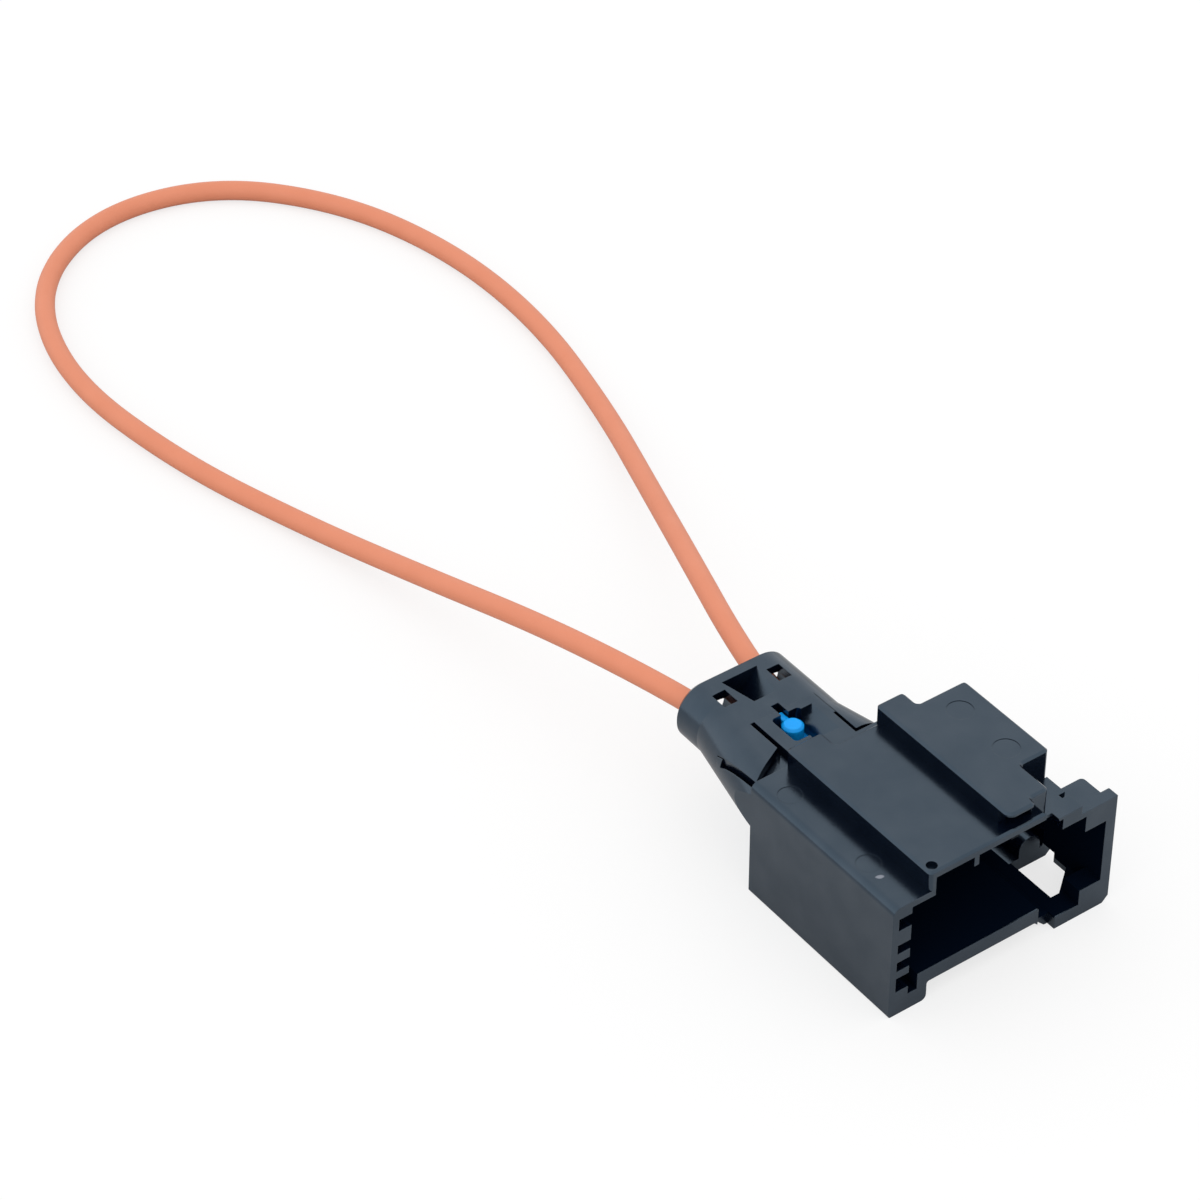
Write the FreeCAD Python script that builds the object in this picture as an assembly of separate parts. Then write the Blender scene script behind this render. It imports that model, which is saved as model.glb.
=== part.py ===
import FreeCAD, Part
import math
import os

# Fibre optic bypass loop: a moulded shroud with a two-way socket, a clip-on rear cap,
# a lock that holds two crimped ferrules, and one loop of jacketed fibre between them.
# Millimetres from the shroud's front left lower corner: X across, Y from the socket
# mouth towards the fibre, Z up. The finished pieces move to the middle of the footprint.

# Overall sizes of the connector
SHROUD_WIDTH = 26.9
SHROUD_LENGTH = 21.2
OVERALL_LENGTH = 36.0
SHELF_TOP = 13.8
PLATEAU_TOP = 16.1
HOOD_TOP = 18.0
REACH = 1.0
TOUCH = 1e-4

# Socket and floor of the shroud
REAR_WALL = 1.6
SHELF_PLATE = 0.75
LEFT_WALL = 2.2
GROOVE_WALL = 0.7
GROOVE_SPANS = ((3.0, 4.75), (5.65, 6.8), (7.9, 9.0), (10.85, 12.3))
SHELF_EDGE_RADIUS = 0.8
LEFT_FOOT_WIDTH = 4.5
FOOT_EDGE_RADIUS = 0.6
FLOOR_BOTTOM = 2.2
FLOOR_TOP = 3.9
FLOOR_LEFT = 3.3
FLOOR_GROOVE_BOTTOM = 2.0
RIGHT_FOOT_WIDTH = 6.7
STEP_RUN = 2.2
RIGHT_FOOT_TOP = 1.5
STEP_SHIFT = 0.4
STEP_SETBACK = 1.0
STEP_DROP = 1.3
STEP_DRAFT = 0.3
FOOT_CHAMFER = 0.7
RIGHT_WALL = 1.2
SILL_TOP = 4.6
RIGHT_WALL_TOP = 6.0
REAR_SILL = 13.2
EDGE_RADIUS = 0.3

# Plateau with its front lip, and the hood beside it with an open mouth in its front,
# whose height is a share of the hood's rise over the plateau
PLATEAU_LEFT = 4.1
PLATEAU_WALL = 0.8
PLATEAU_PLATE = 0.85
PLATEAU_REAR = 19.0
PLATEAU_TAIL_RIGHT = 8.2
LIP_RIGHT = 17.95
LIP_DEPTH = 1.0
LIP_RIB_LEFT = 9.4
LIP_RIB_WIDTH = 0.55
LIP_RIB_BOTTOM = 14.1
LIP_RIB_LENGTH = 12.0
HOOD_LEFT = 13.4
HOOD_STRIP_RIGHT = 16.65
HOOD_FRONT = 0.15
HOOD_MIDDLE_RIGHT = 18.9
HOOD_RIGHT = 22.45
HOOD_SHOULDER = 5.06
HOOD_REAR = 17.3
HOOD_TAIL_REAR = 19.5
HOOD_WALL = 0.9
HOOD_SKIRT = 13.0
HOOD_MOUTH_SHARE = 0.76
HOOD_MOUTH_DEPTH = 1.6
HOOK_RIGHT = 20.15
HOOK_LEAN = 0.62
HOOK_DEPTH = 2.5
HOOK_PLATE = 0.35
CORNER_RADIUS = 0.45
RIM_BEVEL = 0.25

# Ejector marks in the top faces
MARK_DEPTH = 0.05
HOOD_MARK_RADIUS = 1.35
HOOD_MARKS = ((19.3, 14.2), (19.3, 7.5))
SHELF_MARK_RADIUS = 1.2
SHELF_MARKS = ((2.0, 17.85), (2.1, 6.3))
LIP_DIMPLE = (4.95, 0.85)
LIP_DIMPLE_RADIUS = 0.55
LIP_DIMPLE_DEPTH = 0.5

# Open latch corner at the right front
BRIDGE_BOTTOM = 12.85
BRIDGE_TOP = 14.5
HOOP_TOP = 13.5
HOOP_DEPTH = 3.85
HOOP_SETBACK = 1.05
POST_TOP_DEPTH = 1.3
POST_FOOT_DEPTH = 6.5
TOOTH_WIDTH = 2.6
TOOTH_BOTTOM = 10.9
TOOTH_DEPTH = 2.2
KEY_TOP = 3.3
WINDOW_WIDTH = 4.04
WINDOW_FRONT = 2.3
WINDOW_FRONT_WIDTH = 1.04
WINDOW_SIDE_FRONT = 4.7
WINDOW_REAR = 8.2
WINDOW_TOP = 1.9
PEG_WIDTH = 2.6
PEG_SETBACK = 0.4
PEG_TOP = 3.6
PEG_RADIUS = 1.2
NOTCH_WIDTH = 0.8
NOTCH_FRONT = 1.98
NOTCH_REAR = 2.5

# Fibre axes and the flat-sided oval of neck and cap
FIBRE_PITCH = 6.64
FIBRE_MIDDLE = 8.72
FIBRE_HEIGHT = 10.45
OVAL_HEIGHT = 6.7
OVAL_WIDTH = 13.34
OVAL_RADIUS = 3.2
FLARE_LEFT_REACH = 2.64
FLARE_RIGHT_REACH = 1.26
FLARE_RIGHT_REAR = 26.6
CAP_FRONT = 28.0

# Ferrule bores and guide towers in the housing
TOWER_RADIUS = 2.7
TOWER_FRONT = 9.5
TOWER_MOUTH_RADIUS = 1.9
TOWER_MOUTH_DEPTH = 2.5
SLIDE_FIT = 0.05
SPIGOT_RADIUS = 2.3
SPIGOT_REAR = 30.0

# Snap arms of the cap and their pockets in the neck
ARM_THICKNESS = 1.0
POCKET_DEPTH = 1.3
ARM_BOTTOM = 11.6
POCKET_BOTTOM = 11.2
ARM_SLOT = 0.5
ARM_SEAM = 0.06
LEFT_ARM_INNER = 5.1
LEFT_ARM_OUTER_FRONT = 0.9
LEFT_ARM_OUTER_REAR = 1.35
LEFT_ARM_TIP = 21.6
LEFT_ARM_NOTCH = 23.8
LEFT_SLOT_REAR = 27.1
RIGHT_ARM_INNER = 12.9
RIGHT_ARM_TIP = 21.6
RIGHT_SLIT = 0.35
RIGHT_SLIT_REAR = 24.66
CATCH_LEFT = 3.2
CATCH_RIGHT = 5.3
CATCH_TOP = 13.0
CATCH_REAR = 23.5

# Rear cap details, with places along it as shares of its length
CAP_BORE_RADIUS = 2.4
CAP_MOUTH_FLARE = 0.4
CAP_REAR_BEVEL = 0.45
FLARE_LEFT_END = 0.54
CAP_WINDOW_INNER = 2.52
CAP_WINDOW_OUTER = 4.05
CAP_WINDOW_START = 0.42
CAP_WINDOW_END = 0.68
SCOOP_HALF_WIDTH = 2.13
SCOOP_DEPTH = 2.4
SCOOP_START = 0.3
SCOOP_END = 0.806
SCOOP_FADE = 0.6

# Lock and the keyhole window over it
LOCK_MIDDLE = 26.0
LOCK_THICKNESS = 2.2
LOCK_HALF_WIDTH = 5.2
LOCK_BASE = 1.1
LOCK_PRONG_TOP = 11.5
LOCK_SHOULDER = 11.2
LOCK_BOSS_TOP = 13.4
LOCK_BOSS_RADIUS = 1.1
LOCK_FINGER_WIDTH = 0.7
LOCK_FINGER_REAR = 28.2
LOCK_FIT = 0.08
KEYHOLE_HALF_WIDTH = 1.68
KEYHOLE_FRONT = 23.4
KEYHOLE_REAR = 27.3
KEYHOLE_SLOT = 0.9
KEYHOLE_SLOT_REAR = 28.9
RAMP_RIGHT = 11.7
RAMP_DEPTH = 1.4
RAMP_FRONT = 22.6
RAMP_REAR = 26.9

# Ferrules, fibre and jacket
NOSE_RADIUS = 1.25
NOSE_FRONT = 10.0
COLLAR_RADIUS = 1.6
COLLAR_FRONT = 20.0
NECK_RADIUS = 1.15
NECK_PLAY = 0.2
TAIL_RADIUS = 1.5
TAIL_REAR = 30.5
TAIL_CRIMP = 0.12
STRIP_LINE = 28.3
FIBRE_RADIUS = 0.75
JACKET_RADIUS = 1.15
JACKET_STRAIGHT = 5.5
BEND_SHARE = 0.45

# Route of the jacket behind the cap, from the left fibre round to the right one
LOOP_POINTS = (
    (3.5, 43.5, 10.2),
    (1.5, 57.5, 8.0),
    (-0.9, 75.0, 3.8),
    (-4.4, 92.0, JACKET_RADIUS),
    (-9.7, 110.0, JACKET_RADIUS),
    (-11.9, 130.5, JACKET_RADIUS),
    (-6.3, 147.5, JACKET_RADIUS),
    (6.5, 156.5, JACKET_RADIUS),
    (21.5, 154.3, JACKET_RADIUS),
    (32.0, 142.0, JACKET_RADIUS),
    (36.8, 126.0, JACKET_RADIUS),
    (37.0, 108.5, JACKET_RADIUS),
    (33.0, 90.0, JACKET_RADIUS),
    (26.0, 72.0, 4.4),
    (18.9, 55.0, 8.6),
    (14.6, 43.5, 10.1),
)

# Values that follow from the ones above
SOCKET_DEPTH = SHROUD_LENGTH - REAR_WALL
SOCKET_CEILING = SHELF_TOP - SHELF_PLATE
RIGHT_WALL_INNER = SHROUD_WIDTH - RIGHT_WALL
RIGHT_FOOT_LEFT = SHROUD_WIDTH - RIGHT_FOOT_WIDTH
FLOOR_RIGHT = RIGHT_FOOT_LEFT - STEP_RUN
HOOP_RIGHT = SHROUD_WIDTH - HOOP_SETBACK
TOOTH_LEFT = RIGHT_WALL_INNER - TOOTH_WIDTH
WINDOW_LEFT = RIGHT_WALL_INNER - WINDOW_WIDTH
WINDOW_FRONT_RIGHT = WINDOW_LEFT + WINDOW_FRONT_WIDTH
PEG_RIGHT = RIGHT_WALL_INNER - PEG_SETBACK
PEG_LEFT = PEG_RIGHT - PEG_WIDTH
PLATEAU_CEILING = PLATEAU_TOP - PLATEAU_PLATE
HOOD_CEILING = HOOD_TOP - HOOD_WALL
OVAL_BOTTOM = SHELF_TOP - OVAL_HEIGHT
OVAL_LEFT = FIBRE_MIDDLE - OVAL_WIDTH / 2
OVAL_RIGHT = FIBRE_MIDDLE + OVAL_WIDTH / 2
FLARE_LEFT = OVAL_LEFT - FLARE_LEFT_REACH
FLARE_RIGHT = OVAL_RIGHT + FLARE_RIGHT_REACH
CAP_LENGTH = OVERALL_LENGTH - CAP_FRONT
FLARE_LEFT_REAR = CAP_FRONT + FLARE_LEFT_END * CAP_LENGTH
FIBRE_LEFT = FIBRE_MIDDLE - FIBRE_PITCH / 2
FIBRE_RIGHT = FIBRE_MIDDLE + FIBRE_PITCH / 2
LOCK_FRONT = LOCK_MIDDLE - LOCK_THICKNESS / 2
LOCK_REAR = LOCK_MIDDLE + LOCK_THICKNESS / 2
NECK_FRONT = LOCK_FRONT - NECK_PLAY
NECK_REAR = LOCK_REAR + NECK_PLAY
RAMP_LEFT = FIBRE_MIDDLE + KEYHOLE_HALF_WIDTH
MIDDLE = FreeCAD.Vector(-SHROUD_WIDTH / 2, -OVERALL_LENGTH / 2, 0)


def corner_arc(before, point, after, radius):
    """Both ends and the middle of the arc that rounds one corner."""
    toward = (point - before).normalize()
    away = (after - point).normalize()
    half_turn = toward.getAngle(away) / 2
    trim = radius * math.tan(half_turn)
    inward = (away - toward).normalize()
    middle = point + inward * (radius / math.cos(half_turn) - radius)
    return point - toward * trim, middle, point + away * trim


def rounded_outline(points, radii):
    """Closed wire through the points with each corner rounded by its own radius."""
    corners = []
    for index, point in enumerate(points):
        after = points[(index + 1) % len(points)]
        if radii[index] > 0:
            corners.append(corner_arc(points[index - 1], point, after, radii[index]))
        else:
            corners.append((point, None, point))
    edges = []
    for index, (start, middle, end) in enumerate(corners):
        if middle is not None:
            edges.append(Part.Arc(start, middle, end).toShape())
        edges.append(Part.LineSegment(end, corners[(index + 1) % len(corners)][0]).toShape())
    return Part.Wire(edges)


def front_prism(outline, front, rear):
    """Solid with an outline of (x, z, corner radius) drawn from the socket mouth."""
    points = [FreeCAD.Vector(x, front, z) for x, z, _ in outline]
    face = Part.Face(rounded_outline(points, [radius for _, _, radius in outline]))
    return face.extrude(FreeCAD.Vector(0, rear - front, 0))


def plan_prism(outline, bottom, top):
    """Solid with an outline of (x, y, corner radius) drawn from above."""
    points = [FreeCAD.Vector(x, y, bottom) for x, y, _ in outline]
    face = Part.Face(rounded_outline(points, [radius for _, _, radius in outline]))
    return face.extrude(FreeCAD.Vector(0, 0, top - bottom))


def side_prism(outline, left, right):
    """Solid with an outline of (y, z, corner radius) drawn from the left."""
    points = [FreeCAD.Vector(left, y, z) for y, z, _ in outline]
    face = Part.Face(rounded_outline(points, [radius for _, _, radius in outline]))
    return face.extrude(FreeCAD.Vector(right - left, 0, 0))


def block(left, right, front, rear, bottom, top):
    """Rectangular block between six limits."""
    corner = FreeCAD.Vector(left, front, bottom)
    return Part.makeBox(right - left, rear - front, top - bottom, corner)


def rod(x, radius, front, rear):
    """Cylinder along one fibre axis."""
    start = FreeCAD.Vector(x, front, FIBRE_HEIGHT)
    return Part.makeCylinder(radius, rear - front, start, FreeCAD.Vector(0, 1, 0))


def rim_edges(shape, axis, position):
    """Edges of a shape that lie in one plane across an axis."""
    return [
        edge
        for edge in shape.Edges
        if all(abs(vertex.Point[axis] - position) < TOUCH for vertex in edge.Vertexes)
    ]


def oval_side(outer, inset, outer_rear, rear):
    """Half of the oval, round on its outer side, run back straight from the shroud."""
    low = OVAL_BOTTOM + inset
    high = SHELF_TOP - inset
    edge = outer + math.copysign(inset, FIBRE_MIDDLE - outer)
    rounding = OVAL_RADIUS - inset
    side = front_prism(
        (
            (edge, low, rounding),
            (FIBRE_MIDDLE, low, 0),
            (FIBRE_MIDDLE, high, 0),
            (edge, high, rounding),
        ),
        SHROUD_LENGTH - 2 * REACH,
        rear + REACH,
    )
    turn = math.degrees(math.atan2(outer_rear - outer, rear - SHROUD_LENGTH))
    pivot = FreeCAD.Vector(outer, SHROUD_LENGTH, 0)
    return side.rotated(pivot, FreeCAD.Vector(0, 0, 1), -turn)


def oval_form(inset):
    """Flat-sided oval of neck and cap, flared at the left and right towards the shroud."""
    form = oval_side(OVAL_LEFT, inset, OVAL_LEFT, OVERALL_LENGTH).fuse([
        oval_side(OVAL_RIGHT, inset, OVAL_RIGHT, OVERALL_LENGTH),
        oval_side(FLARE_LEFT, inset, OVAL_LEFT, FLARE_LEFT_REAR),
        oval_side(FLARE_RIGHT, inset, OVAL_RIGHT, FLARE_RIGHT_REAR),
    ])
    flush = block(inset, SHROUD_WIDTH, SHROUD_LENGTH, OVERALL_LENGTH, 0, HOOD_TOP)
    return form.common(flush).removeSplitter()


def shroud_shell():
    """Outer form of the shroud before the socket is hollowed out."""
    body = front_prism(
        (
            (0, 0, EDGE_RADIUS),
            (LEFT_FOOT_WIDTH, 0, FOOT_EDGE_RADIUS),
            (LEFT_FOOT_WIDTH, FLOOR_BOTTOM, EDGE_RADIUS),
            (FLOOR_RIGHT - STEP_SHIFT, FLOOR_BOTTOM, EDGE_RADIUS),
            (RIGHT_FOOT_LEFT - STEP_SHIFT, 0, EDGE_RADIUS),
            (SHROUD_WIDTH - FOOT_CHAMFER, 0, 0),
            (SHROUD_WIDTH, FOOT_CHAMFER, 0),
            (SHROUD_WIDTH, SILL_TOP, EDGE_RADIUS),
            (HOOD_RIGHT, SILL_TOP, 0),
            (HOOD_RIGHT, SHELF_TOP, 0),
            (0, SHELF_TOP, SHELF_EDGE_RADIUS),
        ),
        0,
        SHROUD_LENGTH,
    )
    lip_rear = LIP_DEPTH + HOOD_WALL / 2
    plateau = plan_prism(
        (
            (PLATEAU_LEFT, 0, CORNER_RADIUS),
            (LIP_RIGHT, 0, 0),
            (LIP_RIGHT, lip_rear, 0),
            (HOOD_STRIP_RIGHT, lip_rear, 0),
            (HOOD_STRIP_RIGHT, PLATEAU_REAR, CORNER_RADIUS),
            (PLATEAU_TAIL_RIGHT, PLATEAU_REAR, CORNER_RADIUS),
            (PLATEAU_TAIL_RIGHT, SHROUD_LENGTH, CORNER_RADIUS),
            (PLATEAU_LEFT, SHROUD_LENGTH, CORNER_RADIUS),
        ),
        SOCKET_CEILING,
        PLATEAU_TOP,
    )
    plateau = plateau.makeChamfer(RIM_BEVEL, rim_edges(plateau, 2, PLATEAU_TOP))
    hood = plan_prism(
        (
            (HOOD_LEFT, HOOD_FRONT, 2 * CORNER_RADIUS),
            (HOOD_STRIP_RIGHT, HOOD_FRONT, CORNER_RADIUS),
            (HOOD_STRIP_RIGHT, LIP_DEPTH, EDGE_RADIUS),
            (HOOD_MIDDLE_RIGHT, LIP_DEPTH, CORNER_RADIUS),
            (HOOD_MIDDLE_RIGHT, HOOD_SHOULDER, CORNER_RADIUS),
            (HOOD_RIGHT, HOOD_SHOULDER, CORNER_RADIUS),
            (HOOD_RIGHT, HOOD_REAR, CORNER_RADIUS),
            (HOOD_STRIP_RIGHT, HOOD_REAR, CORNER_RADIUS),
            (HOOD_STRIP_RIGHT, HOOD_TAIL_REAR, CORNER_RADIUS),
            (HOOD_LEFT, HOOD_TAIL_REAR, CORNER_RADIUS),
        ),
        HOOD_SKIRT,
        HOOD_TOP,
    )
    hood = hood.makeChamfer(RIM_BEVEL, rim_edges(hood, 2, HOOD_TOP))
    return body.fuse([plateau, hood])


def socket_hollows():
    """Spaces of the socket: the mating hollow, its grooves and the room under the top."""
    hood_far = HOOD_RIGHT - HOOD_WALL
    hollows = [
        front_prism(
            (
                (LEFT_WALL, FLOOR_GROOVE_BOTTOM, 0),
                (FLOOR_LEFT, FLOOR_GROOVE_BOTTOM, 0),
                (FLOOR_LEFT, FLOOR_TOP, 0),
                (FLOOR_RIGHT, FLOOR_TOP, EDGE_RADIUS),
                (FLOOR_RIGHT + STEP_DRAFT, FLOOR_TOP - STEP_DROP, 0),
                (RIGHT_FOOT_LEFT, RIGHT_FOOT_TOP, EDGE_RADIUS),
                (RIGHT_WALL_INNER, RIGHT_FOOT_TOP, EDGE_RADIUS),
                (RIGHT_WALL_INNER, SILL_TOP, 0),
                (hood_far, SILL_TOP, 0),
                (hood_far, SOCKET_CEILING, 0),
                (LEFT_WALL, SOCKET_CEILING, 0),
            ),
            -REACH,
            SOCKET_DEPTH,
        )
    ]
    for low, high in GROOVE_SPANS:
        hollows.append(block(GROOVE_WALL, FLOOR_LEFT - EDGE_RADIUS, -REACH, SOCKET_DEPTH, low, high))
    plateau_inner = PLATEAU_LEFT + PLATEAU_WALL
    plateau_back = PLATEAU_REAR - PLATEAU_WALL
    hood_back = HOOD_REAR - HOOD_WALL
    hood_face = LIP_DEPTH + HOOD_WALL
    hood_inner = HOOD_MIDDLE_RIGHT - HOOD_WALL
    hood_roof = PLATEAU_TOP + HOOD_MOUTH_SHARE * (HOOD_TOP - PLATEAU_TOP)
    latch_right = HOOD_RIGHT + REACH
    low = SOCKET_CEILING - REACH
    hollows += [
        block(hood_far - REACH, latch_right, -REACH, WINDOW_REAR, SILL_TOP, SOCKET_CEILING),
        block(HOOD_STRIP_RIGHT, latch_right, SOCKET_DEPTH, SHROUD_LENGTH, REAR_SILL, PLATEAU_TOP),
        block(plateau_inner, LIP_RIGHT, -REACH, plateau_back, low, PLATEAU_CEILING),
        block(HOOD_LEFT - REACH, HOOD_STRIP_RIGHT, -REACH, HOOD_MOUTH_DEPTH, PLATEAU_TOP, hood_roof),
        block(HOOD_LEFT + HOOD_WALL, HOOD_STRIP_RIGHT, 0, hood_face + REACH, PLATEAU_TOP, hood_roof),
        block(HOOD_LEFT + HOOD_WALL, hood_inner, hood_face, hood_back, low, HOOD_CEILING),
        block(hood_inner, hood_far, HOOD_SHOULDER + HOOD_WALL, hood_back, low, HOOD_CEILING),
        block(FLOOR_RIGHT, RIGHT_FOOT_LEFT, -REACH, STEP_SETBACK, -REACH, SILL_TOP),
        plan_prism(
            (
                (WINDOW_LEFT, WINDOW_FRONT, 0),
                (WINDOW_FRONT_RIGHT, WINDOW_FRONT, 0),
                (RIGHT_WALL_INNER, WINDOW_SIDE_FRONT, 0),
                (SHROUD_WIDTH + REACH, WINDOW_SIDE_FRONT, 0),
                (SHROUD_WIDTH + REACH, WINDOW_REAR, 0),
                (WINDOW_LEFT, WINDOW_REAR, 0),
            ),
            -REACH,
            WINDOW_TOP,
        ),
    ]
    return hollows


def latch_corner():
    """Open hoop at the right front: bridge, hoop plate, sloped post, tooth, key and peg."""
    bridge = block(HOOD_MIDDLE_RIGHT, HOOD_RIGHT, 0, HOOD_SHOULDER, BRIDGE_BOTTOM, BRIDGE_TOP)
    hoop = plan_prism(
        (
            (HOOD_RIGHT - EDGE_RADIUS, 0, 0),
            (HOOP_RIGHT, 0, 0),
            (HOOP_RIGHT, HOOP_DEPTH, CORNER_RADIUS),
            (HOOD_RIGHT - EDGE_RADIUS, HOOP_DEPTH, 0),
        ),
        BRIDGE_BOTTOM,
        HOOP_TOP,
    )
    post = side_prism(
        (
            (0, FOOT_CHAMFER, 0),
            (POST_FOOT_DEPTH, FOOT_CHAMFER, 0),
            (POST_FOOT_DEPTH, SILL_TOP, 0),
            (POST_TOP_DEPTH, HOOP_TOP, EDGE_RADIUS),
            (0, HOOP_TOP, 0),
        ),
        RIGHT_WALL_INNER,
        SHROUD_WIDTH,
    )
    tooth = block(TOOTH_LEFT, RIGHT_WALL_INNER, 0, TOOTH_DEPTH, TOOTH_BOTTOM, BRIDGE_BOTTOM)
    key = block(TOOTH_LEFT, RIGHT_WALL_INNER, 0, TOOTH_DEPTH, RIGHT_FOOT_TOP, KEY_TOP)
    peg = front_prism(
        (
            (PEG_LEFT, RIGHT_FOOT_TOP, 0),
            (PEG_RIGHT, RIGHT_FOOT_TOP, 0),
            (PEG_RIGHT, PEG_TOP, PEG_RADIUS),
            (PEG_LEFT, PEG_TOP, PEG_RADIUS),
        ),
        WINDOW_REAR,
        SOCKET_DEPTH,
    )
    return [bridge, hoop, post, tooth, key, peg]


def keyhole_cut():
    """Keyhole window in the top of neck and cap, with the ramp beside it."""
    opening = plan_prism(
        (
            (FIBRE_MIDDLE - KEYHOLE_HALF_WIDTH, KEYHOLE_FRONT, CORNER_RADIUS),
            (FIBRE_MIDDLE + KEYHOLE_HALF_WIDTH, KEYHOLE_FRONT, CORNER_RADIUS),
            (FIBRE_MIDDLE + KEYHOLE_HALF_WIDTH, KEYHOLE_REAR, CORNER_RADIUS),
            (FIBRE_MIDDLE + KEYHOLE_SLOT / 2, KEYHOLE_REAR, 0),
            (FIBRE_MIDDLE + KEYHOLE_SLOT / 2, KEYHOLE_SLOT_REAR, 0),
            (FIBRE_MIDDLE - KEYHOLE_SLOT / 2, KEYHOLE_SLOT_REAR, 0),
            (FIBRE_MIDDLE - KEYHOLE_SLOT / 2, KEYHOLE_REAR, 0),
            (FIBRE_MIDDLE - KEYHOLE_HALF_WIDTH, KEYHOLE_REAR, CORNER_RADIUS),
        ),
        LOCK_SHOULDER,
        SHELF_TOP + REACH,
    )
    ramp = front_prism(
        (
            (FIBRE_MIDDLE, SHELF_TOP - RAMP_DEPTH, 0),
            (RAMP_LEFT, SHELF_TOP - RAMP_DEPTH, 0),
            (2 * RAMP_RIGHT - RAMP_LEFT, SHELF_TOP + RAMP_DEPTH, 0),
            (FIBRE_MIDDLE, SHELF_TOP + RAMP_DEPTH, 0),
        ),
        RAMP_FRONT,
        RAMP_REAR,
    )
    return opening.fuse(ramp)


def lock_outline(fit):
    """Front outline of the forked lock, enlarged by a fit for the slot that takes it."""
    notch = NECK_RADIUS + SLIDE_FIT - fit
    bottom = OVAL_BOTTOM - (REACH if fit else 0)
    fork_low = FIBRE_HEIGHT - NECK_RADIUS - SLIDE_FIT
    left = FIBRE_MIDDLE - LOCK_HALF_WIDTH - fit
    right = FIBRE_MIDDLE + LOCK_HALF_WIDTH + fit
    prong = LOCK_PRONG_TOP + fit
    return (
        (left, bottom, 0),
        (right, bottom, 0),
        (right, prong, 0),
        (FIBRE_RIGHT + notch, prong, 0),
        (FIBRE_RIGHT + notch, fork_low, 0),
        (FIBRE_RIGHT - notch, fork_low, 0),
        (FIBRE_RIGHT - notch, LOCK_SHOULDER, 0),
        (FIBRE_LEFT + notch, LOCK_SHOULDER, 0),
        (FIBRE_LEFT + notch, fork_low, 0),
        (FIBRE_LEFT - notch, fork_low, 0),
        (FIBRE_LEFT - notch, prong, 0),
        (left, prong, 0),
    )


def neck():
    """Oval neck behind the shroud with the pockets that take the cap's snap arms."""
    solid = oval_form(0).common(block(0, SHROUD_WIDTH, SHROUD_LENGTH, CAP_FRONT, 0, HOOD_TOP))
    right_far = FLARE_RIGHT + REACH
    right_seam = RIGHT_ARM_INNER - ARM_SEAM
    left_pocket = plan_prism(
        (
            (LEFT_ARM_OUTER_FRONT - ARM_SLOT, SHROUD_LENGTH, 0),
            (LEFT_ARM_INNER + ARM_SLOT, SHROUD_LENGTH, 0),
            (LEFT_ARM_INNER + ARM_SLOT, CAP_FRONT, 0),
            (LEFT_ARM_OUTER_REAR - 2 * ARM_SEAM, CAP_FRONT, 0),
            (LEFT_ARM_OUTER_REAR - 3 * ARM_SEAM, LEFT_SLOT_REAR, 0),
            (LEFT_ARM_OUTER_REAR - ARM_SLOT, LEFT_SLOT_REAR, 0),
        ),
        POCKET_BOTTOM,
        HOOD_TOP,
    )
    right_pocket = plan_prism(
        (
            (RIGHT_ARM_INNER - RIGHT_SLIT, SHROUD_LENGTH, 0),
            (right_far, SHROUD_LENGTH, 0),
            (right_far, CAP_FRONT, 0),
            (right_seam, CAP_FRONT, 0),
            (right_seam, RIGHT_SLIT_REAR, 0),
            (RIGHT_ARM_INNER - RIGHT_SLIT, RIGHT_SLIT_REAR, 0),
        ),
        POCKET_BOTTOM,
        HOOD_TOP,
    )
    solid = solid.cut(left_pocket.fuse(right_pocket).cut(oval_form(POCKET_DEPTH)))
    catch = plan_prism(
        (
            (CATCH_LEFT, SHROUD_LENGTH, 0),
            (CATCH_RIGHT, SHROUD_LENGTH, 0),
            (CATCH_RIGHT, CATCH_REAR, 0),
        ),
        POCKET_BOTTOM,
        CATCH_TOP,
    )
    return solid.fuse(catch)


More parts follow.
